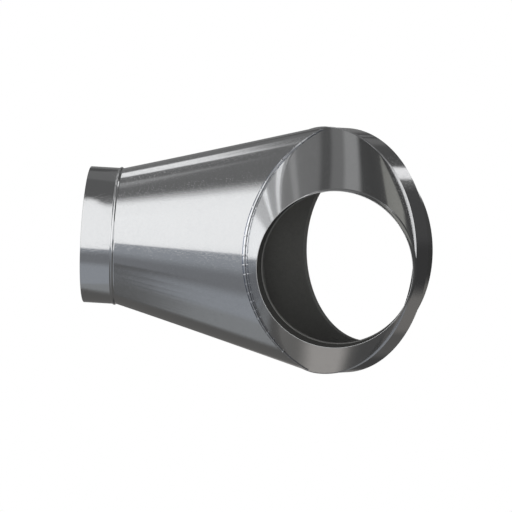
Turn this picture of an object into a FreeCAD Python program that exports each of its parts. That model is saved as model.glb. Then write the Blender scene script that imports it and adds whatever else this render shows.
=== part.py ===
import FreeCAD, Part
import math
import os

os.makedirs("parts", exist_ok=True)

V = FreeCAD.Vector

# Sheet and fits, millimetres
SHEET = 1.2
SLIP = 0.15
LAP = 12.0
HEM = 5.0

# Main opening, its axis is +Y and its rim lies at y = 0
MAIN_R = 203.2
MAIN_NECK = 12.0
REDUCER_LENGTH = 68.0

# Junction ring, mitred at the back: its joints with the legs lean forward to each side
RING_R = 270.0
RING_LENGTH = 63.0
JOINT_TILT = 5.0

# Branches
BRANCH_R = 152.4
BRANCH_HALF_ANGLE = 41.5
BRANCH_REACH = 544.0
COLLAR_LENGTH = 74.0
CROSSING_BACK = 12.0
CROTCH_HALF_WIDTH = 286.0

# Rolled bead at the base of each collar
BEAD_WIDTH = 9.0
BEAD_HEIGHT = 2.2
BEAD_STEPS = 12

# Long seam of each rolled sheet
SEAM_WIDTH = 12.0
SEAM_END = 3.0

# Strip over the joint between the legs
CROTCH_STRIP = 13.0

# Places that follow from the sizes above
REDUCER_BASE_Y = -(MAIN_NECK + REDUCER_LENGTH)
RING_BACK_Y = REDUCER_BASE_Y - RING_LENGTH
JOINT_SLOPE = math.tan(math.radians(JOINT_TILT))
RING_SIDE_Y = RING_BACK_Y + RING_R * JOINT_SLOPE
CROSSING = V(0, -CROSSING_BACK, 0)
UP = V(0, 0, 1)


def branch_direction():
    """Unit vector out of the front branch."""
    angle = math.radians(BRANCH_HALF_ANGLE)
    return V(math.sin(angle), -math.cos(angle), 0)


def crotch_direction():
    """Unit vector across the front branch toward the other branch."""
    angle = math.radians(BRANCH_HALF_ANGLE)
    return V(-math.cos(angle), -math.sin(angle), 0)


def joint_direction():
    """Unit vector along the front leg's joint with the ring, away from the mirror plane."""
    angle = math.radians(JOINT_TILT)
    return V(math.cos(angle), math.sin(angle), 0)


def mirrored(shape):
    """The same shape on the other branch."""
    return shape.mirror(V(0, 0, 0), V(1, 0, 0))


def turned(profile, on_branch=False):
    """Solid of revolution of (distance along the axis, radius) corners.

    It turns about the main axis, with distances along +Y from the main rim, or about the
    front branch's axis, with distances from the point where the branch axes cross.
    """
    corners = [V(0, along, radius) for along, radius in profile]
    face = Part.Face(Part.makePolygon(corners + [corners[0]]))
    solid = face.revolve(V(0, 0, 0), V(0, 1, 0), 360)
    if on_branch:
        solid.rotate(V(0, 0, 0), UP, BRANCH_HALF_ANGLE - 180)
        solid.translate(CROSSING)
    return solid


def arch(centre, half_width, height, start_radius):
    """Corners of a shallow arch over half_width each side of centre."""
    rows = []
    for step in range(BEAD_STEPS + 1):
        turn = math.pi * step / BEAD_STEPS
        rows.append((centre - half_width * math.cos(turn), start_radius + height * math.sin(turn)))
    return rows


def oval_half(centre, across, width, height):
    """Half ellipse from top to bottom, bulging along across."""
    if abs(width - height) < 1e-6:
        arc = Part.Arc(centre + UP * height, centre + across * width, centre - UP * height)
        return arc.toShape()
    if width > height:
        curve = Part.Ellipse(centre + across * width, centre + UP * height, centre)
    else:
        curve = Part.Ellipse(centre + UP * height, centre + across * width, centre)
    first = curve.parameter(centre + UP * height)
    middle = curve.parameter(centre + across * width)
    last = curve.parameter(centre - UP * height)
    low = first if (middle - first) % (2 * math.pi) < math.pi else last
    return Part.Edge(curve, low, low + math.pi)


def crotch_slant():
    """Part of the sheet's normal at the crotch that points along the joint with the ring."""
    start = CROSSING + branch_direction() * BRANCH_REACH + crotch_direction() * BRANCH_R
    run = V(0, RING_BACK_Y, 0) - joint_direction() * CROTCH_HALF_WIDTH - start
    return run.normalize().cross(joint_direction()).Length


def leg_body(grow):
    """Filled front leg from its collar to its joint with the ring, grown all round by grow."""
    collar_centre = CROSSING + branch_direction() * BRANCH_REACH
    junction_centre = V(0, RING_BACK_Y, 0)
    inward = crotch_direction()
    radius = BRANCH_R + grow
    height = RING_R + grow
    collar_wire = Part.Wire([
        oval_half(collar_centre, inward, radius, radius),
        oval_half(collar_centre, inward * -1, radius, radius),
    ])
    across = joint_direction()
    junction_wire = Part.Wire([
        oval_half(junction_centre, across * -1, CROTCH_HALF_WIDTH + grow / crotch_slant(), height),
        oval_half(junction_centre, across, height / across.x, height),
    ])
    return Part.makeLoft([collar_wire, junction_wire], True, True)


def leg_skin(outer, inner):
    """Sheet between two growths of the leg."""
    return leg_body(outer).cut(leg_body(inner))


def slab(low, high):
    """Block that holds everything between two distances from the mirror plane."""
    return Part.makeBox(high - low, 1200, 1200, V(low, -1000, -600))


def joint_slab(low, high):
    """Block on the front side between two distances, along +Y, from the joint with the ring."""
    reach = 400
    corners = [V(0, RING_BACK_Y + low, -600), V(reach, RING_BACK_Y + low + reach * JOINT_SLOPE, -600),
               V(reach, RING_BACK_Y + high + reach * JOINT_SLOPE, -600), V(0, RING_BACK_Y + high, -600)]
    return Part.Face(Part.makePolygon(corners + [corners[0]])).extrude(V(0, 0, 1200))


def band(inner, outer, low, high):
    """Front half of a tube about the main axis, between two distances from the joint."""
    back = RING_BACK_Y - LAP
    tube = turned([(back, inner), (back, outer), (REDUCER_BASE_Y, outer), (REDUCER_BASE_Y, inner)])
    return tube.common(joint_slab(low, high))


def slip_radii(radius):
    """Inner, outer and jog radius of an end that slips into a piece of this outer radius."""
    outer = radius - SHEET - SLIP
    return outer - SHEET, outer, radius - 0.75 * SHEET


def make_neck():
    """Straight end of the front leg that slips LAP deep into its collar."""
    inner, outer, jog = slip_radii(BRANCH_R)
    base = BRANCH_REACH
    return turned([(base - SHEET, inner), (base + LAP, inner), (base + LAP, outer),
                   (base, outer), (base, jog), (base - SHEET, jog)], True)


def make_skirt():
    """Half-round end of the front leg that slips LAP deep into the ring."""
    inner, outer, jog = slip_radii(RING_R)
    return band(inner, outer, 0, LAP).fuse(band(inner, jog, -SHEET, 0))


def long_seam():
    """Doubled strip along the outer side of the leg, where the rolled sheet closes."""
    strip = slab(0, 700).common(Part.makeBox(700, 1000 + RING_SIDE_Y - SEAM_END, SEAM_WIDTH,
                                             V(0, -1000, -SEAM_WIDTH / 2)))
    outer_side = Part.makeBox(BRANCH_REACH - SEAM_END, 900, SEAM_WIDTH, V(0, 0, -SEAM_WIDTH / 2))
    outer_side.rotate(V(0, 0, 0), UP, BRANCH_HALF_ANGLE - 90)
    outer_side.translate(CROSSING)
    return leg_skin(SHEET, -SHEET / 2).common(strip).common(outer_side)


def make_leg():
    """Front leg: wall, neck, skirt and long seam."""
    wall = leg_skin(0, -SHEET).common(slab(0, 700))
    return wall.fuse(long_seam()).fuse(make_neck()).fuse(make_skirt())


def make_crotch_strip():
    """Creased strip laid over both legs' edges along the crotch."""
    reach = Part.makeBox(400, 1000 + RING_BACK_Y - CROTCH_STRIP / 2, 1200, V(0, -1000, -600))
    half_width = CROTCH_STRIP / 2 * math.sqrt(1 - crotch_slant() ** 2)
    half = leg_skin(SLIP + SHEET, SLIP).common(slab(0, half_width)).common(reach)
    return half.fuse(mirrored(half)).removeSplitter()


def make_collar():
    """Round front collar: straight sheet with a rolled bead just past its base."""
    base = BRANCH_REACH
    end = base + COLLAR_LENGTH
    centre = base + BEAD_WIDTH / 2 + SHEET
    outer = arch(centre, BEAD_WIDTH / 2, BEAD_HEIGHT, BRANCH_R)
    inner = arch(centre, BEAD_WIDTH / 2 - SHEET, BEAD_HEIGHT, BRANCH_R - SHEET)
    profile = [(base, BRANCH_R - SHEET), (base, BRANCH_R)] + outer
    profile += [(end, BRANCH_R), (end, BRANCH_R - SHEET)] + inner[::-1]
    return turned(profile, True)


def make_ring():
    """Mitred junction band, hemmed to the outside where the legs slip in."""
    wall = band(RING_R - SHEET, RING_R, 0, RING_LENGTH)
    half = wall.fuse(band(RING_R, RING_R + SHEET, 0, HEM))
    return half.fuse(mirrored(half)).removeSplitter()


def make_reducer():
    """Cone from the junction ring to the hemmed neck of the main opening."""
    slip = RING_R - SHEET - SLIP
    base = REDUCER_BASE_Y
    neck = -MAIN_NECK
    outer = [(base - LAP, slip), (base, slip), (base, RING_R), (neck, MAIN_R + SHEET),
             (neck, MAIN_R + 2 * SHEET), (0, MAIN_R + 2 * SHEET)]
    inner = [(0, MAIN_R), (neck, MAIN_R), (base + SHEET, RING_R - 2 * SHEET - SLIP),
             (base - LAP, slip - SHEET)]
    return turned(outer + inner)


def save(shape, node):
    """Write one piece under its node name."""
    shape.exportStep("parts/" + node + ".step")


collar = make_collar()
leg = make_leg()
save(mirrored(leg), "side_branch_leg")
save(leg, "front_branch_leg")
save(make_crotch_strip(), "crotch_strip")
save(mirrored(collar), "side_branch_collar")
save(collar, "front_branch_collar")
save(make_ring(), "junction_ring")
save(make_reducer(), "main_reducer")
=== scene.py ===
"""Dual duct adapter in galvanised sheet steel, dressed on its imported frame."""

from __future__ import annotations

import logging
import math
from dataclasses import dataclass, field
from enum import Enum

import bmesh
import bpy
from mathutils import Matrix, Vector

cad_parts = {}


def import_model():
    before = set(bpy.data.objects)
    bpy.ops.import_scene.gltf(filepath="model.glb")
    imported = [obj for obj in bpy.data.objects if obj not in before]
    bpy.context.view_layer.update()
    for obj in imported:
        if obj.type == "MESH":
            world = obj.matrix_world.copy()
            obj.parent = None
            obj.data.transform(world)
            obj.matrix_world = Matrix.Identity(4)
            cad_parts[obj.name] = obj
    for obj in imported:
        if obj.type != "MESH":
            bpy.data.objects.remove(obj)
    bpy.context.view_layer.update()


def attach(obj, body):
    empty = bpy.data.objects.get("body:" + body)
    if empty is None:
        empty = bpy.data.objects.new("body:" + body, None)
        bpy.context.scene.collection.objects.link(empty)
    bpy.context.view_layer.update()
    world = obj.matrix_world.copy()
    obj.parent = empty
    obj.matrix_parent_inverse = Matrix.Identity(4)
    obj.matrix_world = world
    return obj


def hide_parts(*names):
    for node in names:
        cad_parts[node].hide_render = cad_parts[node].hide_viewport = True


LOG = logging.getLogger("duct_adapter")
MM = 0.001


def linear(hex_colour: str) -> tuple[float, float, float, float]:
    """Turn an sRGB hex colour into linear values.

    Args:
        hex_colour: six hex digits with a leading hash.

    Returns:
        Red, green, blue and an alpha of 1.
    """
    channels = []
    for start in (1, 3, 5):
        value = int(hex_colour[start:start + 2], 16) / 255
        channels.append(value / 12.92 if value <= 0.04045 else ((value + 0.055) / 1.055) ** 2.4)
    return channels[0], channels[1], channels[2], 1.0


def add_node(tree: bpy.types.NodeTree, kind: str, links: dict | None = None,
             values: dict | None = None, **settings: object) -> bpy.types.Node:
    """Add a node with its settings, unlinked values and incoming links.

    Args:
        tree: node tree that takes the node.
        kind: Blender's node type name.
        links: input name to the output socket that feeds it, or its index where names repeat.
        values: input name to its unlinked value, or its index where names repeat.
        settings: attributes of the node.

    Returns:
        The new node.
    """
    node = tree.nodes.new(kind)
    for name, value in settings.items():
        setattr(node, name, value)
    for name, value in (values or {}).items():
        node.inputs[name].default_value = value
    for name, socket in (links or {}).items():
        tree.links.new(socket, node.inputs[name])
    return node


class Branch(Enum):
    """The two branches, by the side of the mirror plane that they lie on."""

    SIDE = -1
    FRONT = 1


@dataclass(frozen=True)
class Sizes:
    """Sizes shared by the pieces, in millimetres, as in the construction model."""

    sheet: float = 1.2
    slip: float = 0.15
    lap: float = 12.0
    hem: float = 5.0
    strip_width: float = 13.0
    main_radius: float = 203.2
    main_neck: float = 12.0
    reducer_length: float = 68.0
    ring_radius: float = 270.0
    ring_length: float = 63.0
    joint_tilt: float = 5.0
    branch_radius: float = 152.4
    branch_half_angle: float = 41.5
    branch_reach: float = 544.0
    collar_length: float = 74.0
    crossing_back: float = 12.0
    crotch_half_width: float = 286.0
    bead_width: float = 9.0
    bead_height: float = 2.2
    seam_width: float = 12.0
    seam_sink: float = 0.3
    collar_rim_bevel: float = 0.4
    main_rim_bevel: float = 0.9

    @property
    def reducer_base(self) -> float:
        """Y of the joint between the ring and the reducer."""
        return -(self.main_neck + self.reducer_length)

    @property
    def ring_back(self) -> float:
        """Y of the joint between the ring and the legs, in the mirror plane."""
        return self.reducer_base - self.ring_length

    def joint_shift(self, x: float) -> float:
        """How far toward the main opening the mitred joint lies at one x."""
        return abs(x) * math.tan(math.radians(self.joint_tilt))

    def along_branch(self, branch: Branch, reach: float) -> Vector:
        """Point on a branch's axis.

        Args:
            branch: which branch.
            reach: distance from the crossing of the two axes.

        Returns:
            The point, in millimetres.
        """
        return Vector((0, -self.crossing_back, 0)) + self.outward(branch) * reach

    def outward(self, branch: Branch) -> Vector:
        """Unit vector out of a branch."""
        angle = math.radians(self.branch_half_angle)
        return Vector((branch.value * math.sin(angle), -math.cos(angle), 0))

    def toward_other(self, branch: Branch) -> Vector:
        """Unit vector across a branch, toward the other one."""
        angle = math.radians(self.branch_half_angle)
        return Vector((-branch.value * math.cos(angle), -math.sin(angle), 0))


@dataclass(frozen=True)
class GalvanisedSteel:
    """Hot-dip galvanised sheet: bright zinc with fine spangle and rolling waviness.

    The zinc freezes in flat crystals about 3 mm wide that turn the reflection a little, which
    the eye reads as a fine speckle. Waves about 170 mm long, left by the rolling, bend long
    reflections, and clouds about 60 mm wide tint the zinc unevenly.
    """

    name: str
    colour: str
    crystal_colour: str
    roughness: float
    spangle_mm: float = 3.0
    wave_mm: float = 170.0
    wave_strength: float = 0.035
    wave_height_mm: float = 4.0
    cloud_mm: float = 60.0
    facet_strength: float = 0.16
    facet_height_mm: float = 0.3
    metallic: float = 1.0
    specular: float = 0.5

    def build(self) -> bpy.types.Material:
        """Make the material.

        Returns:
            A node material on Object coordinates.
        """
        material = bpy.data.materials.new(self.name)
        material.use_nodes = True
        tree = material.node_tree
        tree.nodes.clear()
        place = add_node(tree, "ShaderNodeTexCoord").outputs["Object"]
        crystals = add_node(tree, "ShaderNodeTexVoronoi", {"Vector": place},
                            {"Scale": 1 / (self.spangle_mm * MM), "Randomness": 1.0})
        shade = add_node(tree, "ShaderNodeSeparateColor", {"Color": crystals.outputs["Color"]})
        clouds = add_node(tree, "ShaderNodeTexNoise", {"Vector": place},
                          {"Scale": 1 / (self.cloud_mm * MM), "Detail": 3.0, "Roughness": 0.55})
        tint = add_node(tree, "ShaderNodeMath", {0: shade.outputs["Red"], 1: clouds.outputs["Fac"]},
                        operation="MULTIPLY")
        colour = add_node(tree, "ShaderNodeMix", {0: tint.outputs[0]}, data_type="RGBA")
        # Inputs 6 and 7 are the two colours; the node's numbers and vectors have the same names
        colour.inputs[6].default_value = linear(self.colour)
        colour.inputs[7].default_value = linear(self.crystal_colour)
        rough = add_node(tree, "ShaderNodeMapRange", {"Value": shade.outputs["Green"]},
                         {"To Min": self.roughness * 0.85, "To Max": self.roughness * 1.15})
        waves = add_node(tree, "ShaderNodeTexNoise", {"Vector": place},
                         {"Scale": 1 / (self.wave_mm * MM), "Detail": 1.0, "Roughness": 0.4})
        rolling = add_node(tree, "ShaderNodeBump", {"Height": waves.outputs["Fac"]},
                           {"Strength": self.wave_strength, "Distance": self.wave_height_mm * MM})
        facets = add_node(tree, "ShaderNodeBump",
                          {"Height": shade.outputs["Blue"], "Normal": rolling.outputs["Normal"]},
                          {"Strength": self.facet_strength, "Distance": self.facet_height_mm * MM})
        shader = add_node(tree, "ShaderNodeBsdfPrincipled",
                          {"Base Color": colour.outputs[2], "Roughness": rough.outputs[0],
                           "Normal": facets.outputs["Normal"]},
                          {"Metallic": self.metallic, "Specular IOR Level": self.specular})
        add_node(tree, "ShaderNodeOutputMaterial", {"Surface": shader.outputs[0]})
        return material


@dataclass
class SheetPiece:
    """A visible piece built from closed sheet shells, standing for one node of the frame."""

    name: str
    node: str
    slot: str
    material: bpy.types.Material
    inside: bpy.types.Material | None = None
    mesh: bmesh.types.BMesh = field(default_factory=bmesh.new)

    def shell(self, outer: list[list[Vector]], inner: list[list[Vector]], closed: bool,
              edge_rows: int = 0) -> None:
        """Add a closed shell between two grids of points of the same size.

        Args:
            outer: rows of points on the outside, in millimetres.
            inner: the matching rows on the inside.
            closed: whether each row runs right round and meets itself.
            edge_rows: how many rows along each long edge take the second material too.
        """
        mesh = self.mesh
        layers = [[[mesh.verts.new(point * MM) for point in row] for row in grid]
                  for grid in (outer, inner)]
        rows = len(outer)
        columns = len(outer[0])
        last = columns if closed else columns - 1
        for layer in layers:
            for i in range(rows - 1):
                for j in range(last):
                    k = (j + 1) % columns
                    face = mesh.faces.new((layer[i][j], layer[i][k], layer[i + 1][k], layer[i + 1][j]))
                    second = layer is layers[1] or i < edge_rows or i >= rows - 1 - edge_rows
                    face.material_index = int(second and self.inside is not None)
        for i in (0, rows - 1):
            for j in range(last):
                k = (j + 1) % columns
                mesh.faces.new((layers[0][i][j], layers[0][i][k], layers[1][i][k], layers[1][i][j]))
        if not closed:
            for j in (0, columns - 1):
                for i in range(rows - 1):
                    mesh.faces.new((layers[0][i][j], layers[0][i + 1][j],
                                    layers[1][i + 1][j], layers[1][i][j]))

    def lathe(self, profile: list[tuple[float, float]], start: Vector, axis: Vector,
              turn: tuple[float, float] = (0.0, 360.0), steps: int = 288,
              inner_corners: int = 0, mitre: float = 0.0, mitred_corners: int = 0) -> None:
        """Turn a closed profile about an axis in the horizontal plane.

        Args:
            profile: corners as (distance along the axis, radius), in millimetres.
            start: point that the distances count from.
            axis: unit vector along the axis.
            turn: first and last angle in degrees, counted from the axis' right side upward.
            steps: number of steps in the turn.
            inner_corners: how many of the last corners face the axis.
            mitre: slope, along the axis, of the planes that hold the mitred corners.
            mitred_corners: how many of the first corners lie in those planes.
        """
        mesh = self.mesh
        across = axis.cross(Vector((0, 0, 1)))
        full = turn[1] - turn[0] >= 360
        count = steps if full else steps + 1
        rings = []
        for step in range(count):
            angle = math.radians(turn[0] + (turn[1] - turn[0]) * step / steps)
            spoke = across * math.cos(angle) + Vector((0, 0, 1)) * math.sin(angle)
            slopes = [mitre * abs(math.cos(angle)) * int(i < mitred_corners) for i in range(len(profile))]
            rings.append([mesh.verts.new((start + axis * (along + slope * radius) + spoke * radius) * MM)
                          for (along, radius), slope in zip(profile, slopes)])
        corners = len(profile)
        for step in range(count if full else count - 1):
            here = rings[step]
            there = rings[(step + 1) % count]
            for i in range(corners):
                j = (i + 1) % corners
                face = mesh.faces.new((here[i], here[j], there[j], there[i]))
                face.material_index = int(self.inside is not None and i >= corners - inner_corners)
        if not full:
            mesh.faces.new(rings[0])
            mesh.faces.new(rings[-1])

    def finish(self) -> bpy.types.Object:
        """Make the object, ride it on the root body and hide the frame node that it stands for.

        Returns:
            The finished object.
        """
        bmesh.ops.remove_doubles(self.mesh, verts=self.mesh.verts, dist=1e-7)
        bmesh.ops.recalc_face_normals(self.mesh, faces=self.mesh.faces)
        data = bpy.data.meshes.new(self.name)
        self.mesh.to_mesh(data)
        self.mesh.free()
        data.polygons.foreach_set("use_smooth", [True] * len(data.polygons))
        data.set_sharp_from_angle(angle=math.radians(32))
        data.materials.append(self.material)
        if self.inside:
            data.materials.append(self.inside)
        piece = bpy.data.objects.new(self.name, data)
        bpy.context.scene.collection.objects.link(piece)
        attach(piece, "root")
        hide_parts(self.node)
        LOG.info("%s: %d faces", self.name, len(data.polygons))
        return piece


@dataclass
class BranchLeg:
    """Tapered leg: a ruled sheet from the collar's circle to the junction's oval."""

    sizes: Sizes
    branch: Branch
    material: bpy.types.Material
    inside: bpy.types.Material | None = None
    around: int = 320
    along: int = 28

    def ruling(self, turn: float) -> tuple[Vector, Vector]:
        """End points of the straight line at one angle, before any trim.

        Args:
            turn: angle in radians from the crotch side upward.

        Returns:
            The point at the collar and the point in the plane of the leg's joint with the ring.
        """
        sizes = self.sizes
        side = self.branch.value
        lift = math.sin(turn)
        lean = math.cos(turn)
        start = sizes.along_branch(self.branch, sizes.branch_reach)
        start = start + sizes.toward_other(self.branch) * (lean * sizes.branch_radius)
        start.z = lift * sizes.branch_radius
        tilt = math.radians(sizes.joint_tilt)
        width = sizes.crotch_half_width if lean > 0 else sizes.ring_radius / math.cos(tilt)
        out = -lean * width
        end = Vector((side * out * math.cos(tilt), sizes.ring_back + out * math.sin(tilt),
                      lift * sizes.ring_radius))
        return start, end

    def trim(self, start: Vector, end: Vector) -> float:
        """Part of a ruling that is kept.

        Args:
            start: point at the collar.
            end: point in the plane of the joint with the ring.

        Returns:
            A factor from 0 at the collar to 1 at the joint.
        """
        if end.x * self.branch.value >= -1e-6:
            return 1.0
        return min(1.0, start.x / (start.x - end.x))

    def normal(self, turn: float, factor: float) -> Vector:
        """Outward unit normal of the sheet.

        Args:
            turn: angle of the ruling in radians.
            factor: place along the untrimmed ruling.

        Returns:
            The unit normal.
        """
        step = 1e-3
        before = self.ruling(turn - step)
        after = self.ruling(turn + step)
        here = self.ruling(turn)
        around = after[0].lerp(after[1], factor) - before[0].lerp(before[1], factor)
        normal = around.cross(here[1] - here[0]).normalized()
        middle = self.sizes.along_branch(self.branch, self.sizes.branch_reach)
        middle = middle.lerp(Vector((0, self.sizes.ring_back, 0)), factor)
        if normal.dot(here[0].lerp(here[1], factor) - middle) < 0:
            normal.negate()
        return normal

    def grids(self, turns: list[float], offsets: tuple[float, float]
              ) -> tuple[list[list[Vector]], list[list[Vector]]]:
        """Outer and inner rows of points over part of the leg.

        Args:
            turns: angles of the rulings, in radians.
            offsets: distances of the outer and the inner grid from the sheet's outer face.

        Returns:
            The two grids.
        """
        outer: list[list[Vector]] = []
        inner: list[list[Vector]] = []
        for row in range(self.along + 1):
            outer.append([])
            inner.append([])
            for turn in turns:
                start, end = self.ruling(turn)
                stop = self.trim(start, end)
                factor = stop * row / self.along
                point = start.lerp(end, factor)
                normal = self.normal(turn, factor)
                for grid, offset in ((outer, offsets[0]), (inner, offsets[1])):
                    moved = point + normal * offset
                    if row == self.along:
                        if stop < 1 - 1e-9:
                            moved.x = 0.0
                        else:
                            moved.y = self.sizes.ring_back + self.sizes.joint_shift(moved.x)
                    grid[-1].append(moved)
        return outer, inner

    def build(self) -> bpy.types.Object:
        """Make the leg with its neck, skirt and long seam.

        Returns:
            The leg's object.
        """
        sizes = self.sizes
        name = self.branch.name.lower()
        piece = SheetPiece(name + "_leg_sheet", name + "_branch_leg", "leg_sheet", self.material,
                           self.inside)
        turns = [2 * math.pi * step / self.around for step in range(self.around)]
        piece.shell(*self.grids(turns, (0.0, -sizes.sheet)), closed=True)
        self.add_slip_ends(piece)
        self.add_long_seam(piece)
        return piece.finish()

    def add_slip_ends(self, piece: SheetPiece) -> None:
        """Add the neck inside the collar and the skirt inside the ring.

        Args:
            piece: piece that takes them.
        """
        sizes = self.sizes
        start = Vector((0, -sizes.crossing_back, 0))
        # Every face of the neck and the skirt takes the inside material, whose painted shade keeps their
        # end faces dark
        piece.lathe(self.slip_profile(sizes.branch_reach, sizes.branch_radius), start,
                    sizes.outward(self.branch), inner_corners=6)
        low = -90 if self.branch is Branch.FRONT else 90
        piece.lathe(self.slip_profile(sizes.ring_back, sizes.ring_radius), Vector(),
                    Vector((0, 1, 0)), (low, low + 180), 160, inner_corners=6,
                    mitre=sizes.joint_shift(1), mitred_corners=6)

    def slip_profile(self, base: float, radius: float) -> list[tuple[float, float]]:
        """Profile of a straight end that slips into the next piece.

        Args:
            base: distance along the axis at which the next piece starts.
            radius: outside radius of the joint.

        Returns:
            Corners as (distance, radius).
        """
        sizes = self.sizes
        outer = radius - sizes.sheet - sizes.slip
        inner = outer - sizes.sheet
        bite = radius - 0.75 * sizes.sheet
        return [(base - sizes.sheet, inner), (base + sizes.lap, inner), (base + sizes.lap, outer),
                (base, outer), (base, bite), (base - sizes.sheet, bite)]

    def add_long_seam(self, piece: SheetPiece) -> None:
        """Add the doubled strip where the rolled sheet closes, on the side away from the crotch.

        Args:
            piece: piece that takes it.
        """
        sizes = self.sizes
        half = sizes.seam_width / 2 / sizes.branch_radius
        turns = [math.pi + half * (step / 6 - 1) for step in range(13)]
        pull_back = 0.15
        outer, inner = self.grids(turns, (sizes.sheet, -sizes.seam_sink))
        for grid in (outer, inner):
            grid[0] = [p.lerp(q, pull_back) for p, q in zip(grid[0], grid[1])]
            grid[-1] = [p.lerp(q, pull_back) for p, q in zip(grid[-1], grid[-2])]
        piece.shell(outer, inner, closed=False)


@dataclass
class CrotchStrip:
    """Creased strip over the joint between the two legs, spot welded to both."""

    sizes: Sizes
    material: bpy.types.Material
    edge_material: bpy.types.Material
    steps: int = 260
    half_columns: int = 8
    end_angle: float = 0.06
    end_gap: float = 7.0
    edge_fall: float = 0.9
    weld_pitch: float = 21.0
    weld_radius: float = 2.5
    weld_place: float = 0.27

    def edge_point(self, leg: BranchLeg, turn: float, away: float, lift: float) -> tuple[Vector, Vector]:
        """Point beside the crotch on one leg.

        Args:
            leg: the leg that the point lies on.
            turn: angle of the ruling in radians.
            away: distance from the crotch along the ruling.
            lift: height above the leg's sheet.

        Returns:
            The point and the sheet's normal there.
        """
        start, end = leg.ruling(turn)
        factor = leg.trim(start, end) - away / (end - start).length
        normal = leg.normal(turn, factor)
        point = start.lerp(end, factor) + normal * lift
        if away == 0:
            point.x = 0.0
        point.y = min(point.y, self.sizes.ring_back - self.end_gap)
        return point, normal

    def build(self) -> list[bpy.types.Object]:
        """Make the strip and its welds.

        Returns:
            The strip's object and the welds' object.
        """
        sizes = self.sizes
        piece = SheetPiece("crotch_strip_sheet", "crotch_strip", "strip_sheet", self.material,
                           self.edge_material)
        legs = [BranchLeg(sizes, Branch.SIDE, self.material), BranchLeg(sizes, Branch.FRONT, self.material)]
        start = self.end_angle - math.pi / 2
        turns = [start - 2 * start * i / self.steps for i in range(self.steps + 1)]
        outer = []
        inner = []
        for column in range(-self.half_columns, self.half_columns + 1):
            leg = legs[0] if column < 0 else legs[1]
            place = abs(column) / self.half_columns
            away = place * sizes.strip_width / 2
            top = sizes.slip + sizes.sheet * (1 - self.edge_fall * place ** 2.5)
            outer.append([self.edge_point(leg, turn, away, top)[0] for turn in turns])
            inner.append([self.edge_point(leg, turn, away, sizes.slip)[0] for turn in turns])
        piece.shell(outer, inner, closed=False, edge_rows=3)
        strip = piece.finish()
        return [strip, self.build_welds(legs, turns)]

    def build_welds(self, legs: list[BranchLeg], turns: list[float]) -> bpy.types.Object:
        """Set shallow spot welds of uneven size at an even pitch along both sides of the crease.

        Args:
            legs: the two legs.
            turns: angles of the rulings, in radians.

        Returns:
            The welds as one mesh.
        """
        guide = bmesh.new()
        layer = guide.verts.layers.float_vector.new("outward")
        away = self.sizes.strip_width * self.weld_place
        for leg in legs:
            before = None
            for turn in turns:
                point, normal = self.edge_point(leg, turn, away, self.sizes.slip + self.sizes.sheet)
                vertex = guide.verts.new(point * MM)
                vertex[layer] = normal
                if before:
                    guide.edges.new((before, vertex))
                before = vertex
        data = bpy.data.meshes.new("weld_guide")
        guide.to_mesh(data)
        guide.free()
        row = WeldRow(self.weld_pitch, self.weld_radius, self.material)
        return row.grow("crotch_welds", data)


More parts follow.
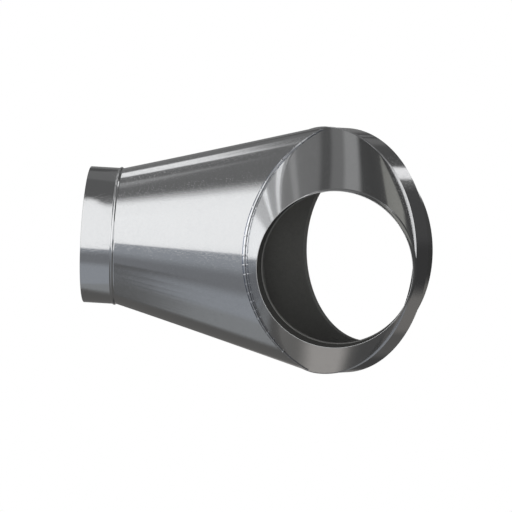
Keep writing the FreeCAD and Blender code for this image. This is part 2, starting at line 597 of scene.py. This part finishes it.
@dataclass
class WeldRow:
    """Spot welds repeated along a guide by Geometry Nodes."""

    pitch: float
    radius: float
    material: bpy.types.Material
    height: float = 0.4
    smallest: float = 0.45
    largest: float = 1.2
    seed: int = 7

    def tree(self) -> bpy.types.GeometryNodeTree:
        """Build the node tree with named inputs.

        Returns:
            The tree.
        """
        tree = bpy.data.node_groups.new("spot_weld_row", "GeometryNodeTree")
        face = tree.interface
        face.new_socket("Guide", in_out="INPUT", socket_type="NodeSocketGeometry")
        for name in ("Pitch", "Radius", "Height"):
            face.new_socket(name, in_out="INPUT", socket_type="NodeSocketFloat")
        face.new_socket("Metal", in_out="INPUT", socket_type="NodeSocketMaterial")
        face.new_socket("Welds", in_out="OUTPUT", socket_type="NodeSocketGeometry")
        given = add_node(tree, "NodeGroupInput")
        line = add_node(tree, "GeometryNodeMeshToCurve", {"Mesh": given.outputs["Guide"]})
        spaced = add_node(tree, "GeometryNodeResampleCurve",
                          {"Curve": line.outputs[0], "Length": given.outputs["Pitch"]}, mode="LENGTH")
        outward = add_node(tree, "GeometryNodeInputNamedAttribute", None, {"Name": "outward"},
                           data_type="FLOAT_VECTOR")
        lean = add_node(tree, "FunctionNodeAlignRotationToVector", {"Vector": outward.outputs[0]},
                        axis="Z")
        dome = add_node(tree, "GeometryNodeMeshUVSphere", {"Radius": given.outputs["Radius"]},
                        {"Segments": 12, "Rings": 6})
        ratio = add_node(tree, "ShaderNodeMath",
                         {0: given.outputs["Height"], 1: given.outputs["Radius"]}, operation="DIVIDE")
        flat = add_node(tree, "ShaderNodeCombineXYZ", {"Z": ratio.outputs[0]}, {"X": 1.0, "Y": 1.0})
        size = add_node(tree, "FunctionNodeRandomValue", None, {"Seed": self.seed}, data_type="FLOAT")
        # Inputs 2 and 3 are the smallest and the largest number; the node's vector has the same names
        size.inputs[2].default_value = self.smallest
        size.inputs[3].default_value = self.largest
        scale = add_node(tree, "ShaderNodeVectorMath", {0: flat.outputs[0], "Scale": size.outputs[1]},
                         operation="SCALE")
        copies = add_node(tree, "GeometryNodeInstanceOnPoints",
                          {"Points": spaced.outputs[0], "Instance": dome.outputs["Mesh"],
                           "Rotation": lean.outputs[0], "Scale": scale.outputs[0]})
        solid = add_node(tree, "GeometryNodeRealizeInstances", {"Geometry": copies.outputs[0]})
        dressed = add_node(tree, "GeometryNodeSetMaterial",
                           {"Geometry": solid.outputs[0], "Material": given.outputs["Metal"]})
        add_node(tree, "NodeGroupOutput", {"Welds": dressed.outputs[0]})
        return tree

    def grow(self, name: str, guide: bpy.types.Mesh) -> bpy.types.Object:
        """Run the tree on a guide and keep the result as a plain mesh.

        Args:
            name: name of the piece.
            guide: mesh of edges that the welds follow, with an outward vector at each point.

        Returns:
            The welds' object.
        """
        helper = bpy.data.objects.new(name + "_guide", guide)
        bpy.context.scene.collection.objects.link(helper)
        modifier = helper.modifiers.new("welds", "NODES")
        modifier.node_group = self.tree()
        values = {"Pitch": self.pitch * MM, "Radius": self.radius * MM, "Height": self.height * MM,
                  "Metal": self.material}
        for item in modifier.node_group.interface.items_tree:
            if item.in_out == "INPUT" and item.name in values:
                modifier[item.identifier] = values[item.name]
        shown = helper.evaluated_get(bpy.context.evaluated_depsgraph_get())
        data = bpy.data.meshes.new_from_object(shown)
        data.name = name
        helper.modifiers.remove(modifier)
        bpy.data.objects.remove(helper)
        data.polygons.foreach_set("use_smooth", [True] * len(data.polygons))
        piece = bpy.data.objects.new(name, data)
        bpy.context.scene.collection.objects.link(piece)
        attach(piece, "root")
        LOG.info("%s: %d faces", name, len(data.polygons))
        return piece


@dataclass
class RoundPieces:
    """Collars, junction ring and reducer: sheet turned about an axis."""

    sizes: Sizes
    collar_material: bpy.types.Material
    ring_material: bpy.types.Material
    reducer_material: bpy.types.Material
    inside: bpy.types.Material
    collar_inside: bpy.types.Material

    def bead(self, centre: float, half_width: float, radius: float) -> list[tuple[float, float]]:
        """Rolled bead as a smooth swell of the sheet.

        Args:
            centre: distance along the axis of the bead's crown.
            half_width: half the bead's width.
            radius: radius of the sheet beside it.

        Returns:
            Profile points from the near foot to the far one.
        """
        rows = []
        for step in range(25):
            place = step / 12 - 1
            swell = self.sizes.bead_height * (0.5 + 0.5 * math.cos(math.pi * place)) ** 0.8
            rows.append((centre + place * half_width, radius + swell))
        return rows

    def build_collar(self, branch: Branch) -> bpy.types.Object:
        """Make one collar.

        Args:
            branch: which branch it sits on.

        Returns:
            The collar's object.
        """
        sizes = self.sizes
        name = branch.name.lower()
        piece = SheetPiece(name + "_collar_sheet", name + "_branch_collar", "collar_sheet",
                           self.collar_material, self.collar_inside)
        base = sizes.branch_reach
        end = base + sizes.collar_length
        centre = base + sizes.bead_width / 2 + sizes.sheet
        outside = sizes.branch_radius
        inside = outside - sizes.sheet
        bevel = sizes.collar_rim_bevel
        outer = self.bead(centre, sizes.bead_width / 2, outside)
        inner = self.bead(centre, (sizes.bead_width - sizes.sheet) / 2, inside)
        profile = [(base, inside), (base, outside), *outer, (end - bevel, outside), (end, outside - bevel),
                   (end, inside + bevel), (end - bevel, inside), *inner[::-1]]
        # The collar's inner faces take a darker material, painted shade for its unlit inner wall
        piece.lathe(profile, Vector((0, -sizes.crossing_back, 0)), sizes.outward(branch),
                    inner_corners=len(inner) + 2)
        return piece.finish()

    def build_ring(self) -> bpy.types.Object:
        """Make the mitred junction ring with the double-ridged hem that the legs slip into.

        Returns:
            The ring's object.
        """
        sizes = self.sizes
        piece = SheetPiece("junction_ring_sheet", "junction_ring", "ring_sheet", self.ring_material,
                           self.inside)
        back = sizes.ring_back
        front = sizes.reducer_base
        radius = sizes.ring_radius
        sheet = sizes.sheet
        hem = sizes.hem
        groove = 0.2
        ridges = []
        for step in range(25):
            rise = groove + (1 - groove) * abs(math.sin(math.pi * step / 12))
            ridges.append((back + hem * step / 24, radius + sheet * rise))
        profile = [(back, radius - sheet), *ridges, (back + hem + 0.2, radius),
                   (front, radius), (front, radius - sheet)]
        piece.lathe(profile, Vector(), Vector((0, 1, 0)), inner_corners=1,
                    mitre=sizes.joint_shift(1), mitred_corners=len(ridges) + 2)
        return piece.finish()

    def build_reducer(self) -> bpy.types.Object:
        """Make the cone and hemmed neck of the main opening.

        Returns:
            The reducer's object.
        """
        sizes = self.sizes
        piece = SheetPiece("main_reducer_sheet", "main_reducer", "reducer_sheet",
                           self.reducer_material, self.inside)
        slip = sizes.ring_radius - sizes.sheet - sizes.slip
        base = sizes.reducer_base
        neck = -sizes.main_neck
        sheet = sizes.sheet
        radius = sizes.main_radius
        hemmed = radius + 2 * sheet
        bevel = sizes.main_rim_bevel
        fold = neck - sheet * (neck - base) / (sizes.ring_radius - radius - sheet)
        profile = [(base - sizes.lap, slip), (base, slip), (base, sizes.ring_radius), (fold, hemmed),
                   (-bevel, hemmed), (0, hemmed - bevel), (0, radius + bevel), (-bevel, radius),
                   (neck, radius), (base + sheet, slip - sheet), (base - sizes.lap, slip - sheet)]
        piece.lathe(profile, Vector(), Vector((0, 1, 0)), inner_corners=4)
        return piece.finish()


@dataclass(frozen=True)
class LightPatch:
    """A soft-edged patch of the studio's wall, by its place as seen from the object.

    Azimuth is counted from the camera toward its right, elevation from the horizon, in degrees.
    The patch may be turned about its middle.
    """

    azimuth: tuple[float, float]
    elevation: tuple[float, float]
    grey: float
    soft: tuple[float, float, float] = (6.0, 6.0, 6.0)
    tint: tuple[float, float, float] = (1.0, 1.0, 1.0)
    turn: float = 0.0

    def lay_over(self, tree: bpy.types.NodeTree, below: bpy.types.NodeSocket,
                 azimuth: bpy.types.NodeSocket, elevation: bpy.types.NodeSocket
                 ) -> bpy.types.NodeSocket:
        """Lay the patch over the colour below it.

        Args:
            tree: the world's node tree.
            below: colour so far.
            azimuth: azimuth in radians.
            elevation: elevation in radians.

        Returns:
            The new colour.
        """
        if self.turn:
            middle = [math.radians(sum(span) / 2) for span in (self.azimuth, self.elevation)]
            place = add_node(tree, "ShaderNodeCombineXYZ", {"X": azimuth, "Y": elevation})
            turned = add_node(tree, "ShaderNodeVectorRotate", {"Vector": place.outputs[0]},
                              {"Center": (*middle, 0.0), "Angle": -math.radians(self.turn)},
                              rotation_type="Z_AXIS")
            apart = add_node(tree, "ShaderNodeSeparateXYZ", {"Vector": turned.outputs[0]})
            azimuth, elevation = apart.outputs["X"], apart.outputs["Y"]
        masks = [self.edge(tree, azimuth, self.azimuth[0], self.soft[0]),
                 self.edge(tree, azimuth, self.azimuth[1], -self.soft[0]),
                 self.edge(tree, elevation, self.elevation[0], self.soft[1]),
                 self.edge(tree, elevation, self.elevation[1], -self.soft[2])]
        mask = masks[0]
        for other in masks[1:]:
            mask = add_node(tree, "ShaderNodeMath", {0: mask, 1: other}, operation="MULTIPLY").outputs[0]
        mix = add_node(tree, "ShaderNodeMix", {0: mask, 6: below}, data_type="RGBA")
        mix.inputs[7].default_value = tuple(self.grey * part for part in self.tint) + (1.0,)
        return mix.outputs[2]

    def edge(self, tree: bpy.types.NodeTree, angle: bpy.types.NodeSocket, at: float,
             soft: float) -> bpy.types.NodeSocket:
        """One soft edge, rising where soft is positive and falling where it is negative.

        Args:
            tree: the world's node tree.
            angle: the angle that the edge reads, in radians.
            at: place of the edge's middle, in degrees.
            soft: width of the edge, in degrees.

        Returns:
            A value from 0 to 1.
        """
        low, high = at - soft / 2, at + soft / 2
        node = add_node(tree, "ShaderNodeMapRange", {"Value": angle},
                        {"From Min": math.radians(low), "From Max": math.radians(high)},
                        interpolation_type="SMOOTHSTEP")
        return node.outputs[0]


def bent_patches(points: tuple[tuple[float, float], ...], below: float, above: float, grey: float,
                 soft: tuple[float, float, float]) -> list[LightPatch]:
    """Turned patches in a row along a bent line.

    Args:
        points: azimuth and elevation of the line's corners, in degrees.
        below: how far each patch reaches below the line, in degrees.
        above: how far it reaches above the line.
        grey: brightness of the patches.
        soft: widths of the soft edges, as in LightPatch.

    Returns:
        The patches, each a little longer than its stretch of the line.
    """
    patches = []
    overlap = 1.2
    for (az_a, el_a), (az_b, el_b) in zip(points, points[1:]):
        half = math.hypot(az_b - az_a, el_b - el_a) / 2 + overlap
        turn = math.atan2(el_b - el_a, az_b - az_a)
        lift = (above - below) / 2
        azimuth = (az_a + az_b) / 2 - math.sin(turn) * lift
        elevation = (el_a + el_b) / 2 + math.cos(turn) * lift
        patches.append(LightPatch((azimuth - half, azimuth + half),
                                  (elevation - (above + below) / 2, elevation + (above + below) / 2),
                                  grey, soft, turn=math.degrees(turn)))
    return patches


@dataclass
class Studio:
    """Camera, soft light and pale backdrop, with the camera's place as fitted to the photograph."""

    room_colour: str = "#7c7c7c"
    strength: float = 1.0
    patches: tuple[LightPatch, ...] = (
        # Ceiling, and the floor behind and below the object
        LightPatch((-200.0, 200.0), (68.0, 100.0), 0.15, (1.0, 5.0, 1.0)),
        LightPatch((-200.0, 200.0), (-100.0, -14.0), 0.14, (1.0, 1.0, 12.0), (1.0, 0.98, 0.95)),
        LightPatch((84.0, 120.0), (-46.0, -26.0), 0.23, (8.0, 6.0, 6.0), (1.04, 1.0, 0.95)),
        # Bluish floor in front, with darker stretches part of the way down
        LightPatch((-150.0, -70.0), (-100.0, -57.0), 0.34, (24.0, 1.0, 8.0), (0.97, 1.0, 1.03)),
        LightPatch((-80.0, 40.0), (-100.0, -7.0), 0.41, (20.0, 1.0, 3.0), (0.94, 0.99, 1.07)),
        LightPatch((-80.0, 0.0), (-46.0, -25.0), 0.25, (16.0, 12.0, 12.0), (0.96, 0.99, 1.05)),
        LightPatch((-76.0, -55.0), (-54.0, -36.0), 0.26, (6.0, 5.0, 8.0), (0.96, 0.99, 1.05)),
        *bent_patches(((-146.0, -55.0), (-133.2, -60.5), (-121.8, -63.1), (-110.5, -64.4),
                       (-99.5, -64.7), (-87.9, -63.8), (-75.8, -61.7), (-64.3, -57.6),
                       (-53.5, -50.9), (-44.0, -40.0)), 0.7, 2.6, 0.135, (2.0, 1.6, 2.0)),
        # Large white window in front, lower and higher to the camera's right
        LightPatch((-72.0, -20.0), (-8.0, 53.0), 1.33, (14.0, 2.0, 14.0)),
        LightPatch((-24.0, 58.0), (-19.5, 64.5), 1.33, (8.0, 3.0, 12.0)),
        LightPatch((-75.0, -42.5), (-12.0, 30.0), 1.75, (4.0, 5.0, 6.0)),
        LightPatch((-80.0, -57.0), (32.0, 45.0), 0.95, (6.0, 4.0, 4.0)),
        # Dark side wall, with a small lamp above it
        LightPatch((60.0, 150.0), (-22.0, 40.0), 0.06, (10.0, 8.0, 6.0)),
        LightPatch((80.0, 150.0), (8.0, 40.0), 0.09, (8.0, 12.0, 6.0)),
        LightPatch((130.0, 160.0), (34.0, 62.0), 0.11, (6.0, 6.0, 6.0)),
        LightPatch((116.0, 130.0), (42.5, 51.0), 1.4, (4.0, 3.0, 3.0)),
        # Lamps high behind the object and a pale strip of ceiling to its left
        LightPatch((-126.0, -72.0), (41.0, 55.0), 0.68, (8.0, 4.0, 3.0)),
        LightPatch((-88.0, -77.0), (42.0, 54.0), 1.9, (5.0, 3.0, 3.0)),
        LightPatch((-142.0, -121.0), (41.5, 51.0), 1.6, (5.0, 3.0, 3.0), turn=25.0),
        LightPatch((-153.0, -144.0), (30.0, 40.0), 0.75, (5.0, 4.0, 3.0)),
        LightPatch((-128.0, -104.0), (56.0, 62.3), 0.42, (8.0, 3.0, 1.6)),
        LightPatch((-163.2, -145.6), (39.9, 47.5), 1.26, (4.0, 3.0, 3.4), turn=48.0),
        # Wall panels behind the object, from its left round to its right
        LightPatch((-176.0, -155.0), (12.0, 19.4), 0.23, (4.0, 3.0, 1.5)),
        LightPatch((-170.0, -157.0), (17.8, 20.2), 0.36, (4.0, 1.0, 1.0)),
        LightPatch((-175.0, -170.4), (24.5, 40.0), 0.1, (2.4, 1.0, 6.0)),
        LightPatch((146.0, 173.0), (-41.0, 30.2), 0.07, (4.0, 6.0, 2.0)),
        LightPatch((169.8, 178.0), (26.0, 36.0), 0.34, (3.0, 1.0, 4.0)),
        LightPatch((150.0, 166.8), (3.5, 17.2), 0.27, (3.0, 3.0, 0.6), (1.0, 1.0, 0.94)),
        # Warm low panel straight behind
        LightPatch((174.8, 182.0), (-30.0, -17.0), 0.35, (4.0, 3.0, 3.0), (1.04, 1.0, 0.96)),
        LightPatch((-182.0, -175.4), (-30.0, -17.0), 0.35, (4.0, 3.0, 3.0), (1.04, 1.0, 0.96)),
    )

    dome_radius: float = 30.0
    azimuth: float = 49.6
    elevation: float = 4.17
    roll: float = 3.23
    distance_mm: float = 4469.0
    target_mm: tuple[float, float, float] = (-154.5, -194.6, -26.8)
    lens_mm: float = 140.6

    def back_vector(self) -> Vector:
        """Direction of the camera.

        Returns:
            The unit vector from the object to the camera.
        """
        turn = math.radians(self.azimuth)
        rise = math.radians(self.elevation)
        return Vector((math.sin(turn) * math.cos(rise), -math.cos(turn) * math.cos(rise),
                       math.sin(rise)))

    def build_camera(self) -> bpy.types.Object:
        """Place the camera at the photograph's angle.

        Returns:
            The camera.
        """
        data = bpy.data.cameras.new("photo_camera")
        data.sensor_width = 36
        data.lens = self.lens_mm
        camera = bpy.data.objects.new("photo_camera", data)
        bpy.context.scene.collection.objects.link(camera)
        back = self.back_vector()
        turn = math.radians(self.azimuth)
        right = Vector((math.cos(turn), math.sin(turn), 0))
        up = back.cross(right)
        roll = math.radians(self.roll)
        right, up = (right * math.cos(roll) + up * math.sin(roll),
                     up * math.cos(roll) - right * math.sin(roll))
        place = Vector(self.target_mm) * MM + back * (self.distance_mm * MM)
        camera.matrix_world = Matrix.Translation(place) @ Matrix((right, up, back)).transposed().to_4x4()
        bpy.context.scene.camera = camera
        return camera

    def build_world(self) -> None:
        """Surround the object with a soft studio made of a dim room and a few pale patches."""
        world = bpy.data.worlds.new("studio")
        bpy.context.scene.world = world
        world.use_nodes = True
        tree = world.node_tree
        tree.nodes.clear()
        way = add_node(tree, "ShaderNodeTexCoord").outputs["Generated"]
        turn = math.radians(self.azimuth)
        front = (math.sin(turn), -math.cos(turn), 0.0)
        right = (math.cos(turn), math.sin(turn), 0.0)
        ahead = add_node(tree, "ShaderNodeVectorMath", {0: way}, {1: front}, operation="DOT_PRODUCT")
        aside = add_node(tree, "ShaderNodeVectorMath", {0: way}, {1: right}, operation="DOT_PRODUCT")
        height = add_node(tree, "ShaderNodeSeparateXYZ", {0: way})
        azimuth = add_node(tree, "ShaderNodeMath",
                           {0: aside.outputs["Value"], 1: ahead.outputs["Value"]},
                           operation="ARCTAN2")
        elevation = add_node(tree, "ShaderNodeMath", {0: height.outputs["Z"]}, operation="ARCSINE")
        colour = add_node(tree, "ShaderNodeRGB").outputs[0]
        colour.default_value = linear(self.room_colour)
        for patch in self.patches:
            colour = patch.lay_over(tree, colour, azimuth.outputs[0], elevation.outputs[0])
        light = add_node(tree, "ShaderNodeBackground", {"Color": colour}, {"Strength": self.strength})
        add_node(tree, "ShaderNodeOutputWorld", {"Surface": light.outputs[0]})

    def build_stage(self) -> None:
        """Add the pale dome that only the camera sees: matt white paper, lit evenly, without shadow."""
        material = bpy.data.materials.new("pale_backdrop_paper")
        material.use_nodes = True
        tree = material.node_tree
        tree.nodes.clear()
        glow = add_node(tree, "ShaderNodeEmission", None, {"Color": linear("#ffffff"), "Strength": 1.0})
        add_node(tree, "ShaderNodeOutputMaterial", {"Surface": glow.outputs[0]})
        mesh = bmesh.new()
        bmesh.ops.create_icosphere(mesh, subdivisions=4, radius=self.dome_radius)
        data = bpy.data.meshes.new("pale_backdrop")
        mesh.to_mesh(data)
        mesh.free()
        data.materials.append(material)
        dome = bpy.data.objects.new("pale_backdrop", data)
        bpy.context.scene.collection.objects.link(dome)
        for ray in ("diffuse", "glossy", "transmission", "volume_scatter", "shadow"):
            setattr(dome, "visible_" + ray, False)


def main() -> None:
    """Build the pieces and the studio."""
    logging.basicConfig(level=logging.INFO)
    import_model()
    sizes = Sizes()
    # Rolled galvanised sheet, as it comes from the coil: clear, slightly soft mirror images
    leg = GalvanisedSteel("galvanised_leg_sheet", "#cacbcc", "#c5c6c8", 0.085).build()
    ring = GalvanisedSteel("galvanised_ring_sheet", "#c7c7c8", "#c1c2c4", 0.085).build()
    # The same sheet, held straight by the bead, so its images bend less
    collar = GalvanisedSteel("galvanised_collar_sheet", "#cacbcc", "#c5c6c8", 0.085,
                             wave_strength=0.012).build()
    # The same sheet, worked harder by forming, so its images are softer
    strip = GalvanisedSteel("galvanised_strip_sheet", "#d2d3d5", "#c8cacd", 0.12).build()
    cone = GalvanisedSteel("galvanised_reducer_sheet", "#bdbdbd", "#b5b6b7", 0.14).build()
    # Zinc tinted blue by the heat of spot welding: a darker, matt edge along the strip
    tinted = GalvanisedSteel("weld_tinted_zinc", "#858c9a", "#787f8c", 0.24).build()
    # Galvanised sheet inside the duct, rougher than outside and darker as painted shade for the unlit
    # inside: an even dark grey
    dull_and_shaded = GalvanisedSteel("inner_sheet_painted_shade", "#8c8c8a", "#858583", 0.6, metallic=0.5,
                           specular=0.2).build()
    # The same inside the collars, darker still as painted shade for their unlit inner walls: nearly black
    # in shade
    shaded = GalvanisedSteel("collar_inner_painted_shade", "#4c4c4a", "#464645", 0.7, metallic=0.2,
                             specular=0.1).build()
    BranchLeg(sizes, Branch.SIDE, leg, dull_and_shaded).build()
    BranchLeg(sizes, Branch.FRONT, leg, dull_and_shaded).build()
    CrotchStrip(sizes, strip, tinted).build()
    rounds = RoundPieces(sizes, collar, ring, cone, dull_and_shaded, shaded)
    rounds.build_collar(Branch.SIDE)
    rounds.build_collar(Branch.FRONT)
    rounds.build_ring()
    rounds.build_reducer()
    studio = Studio()
    studio.build_camera()
    studio.build_world()
    studio.build_stage()
    bpy.context.scene.view_settings.view_transform = "Standard"


if __name__ == "__main__":
    main()
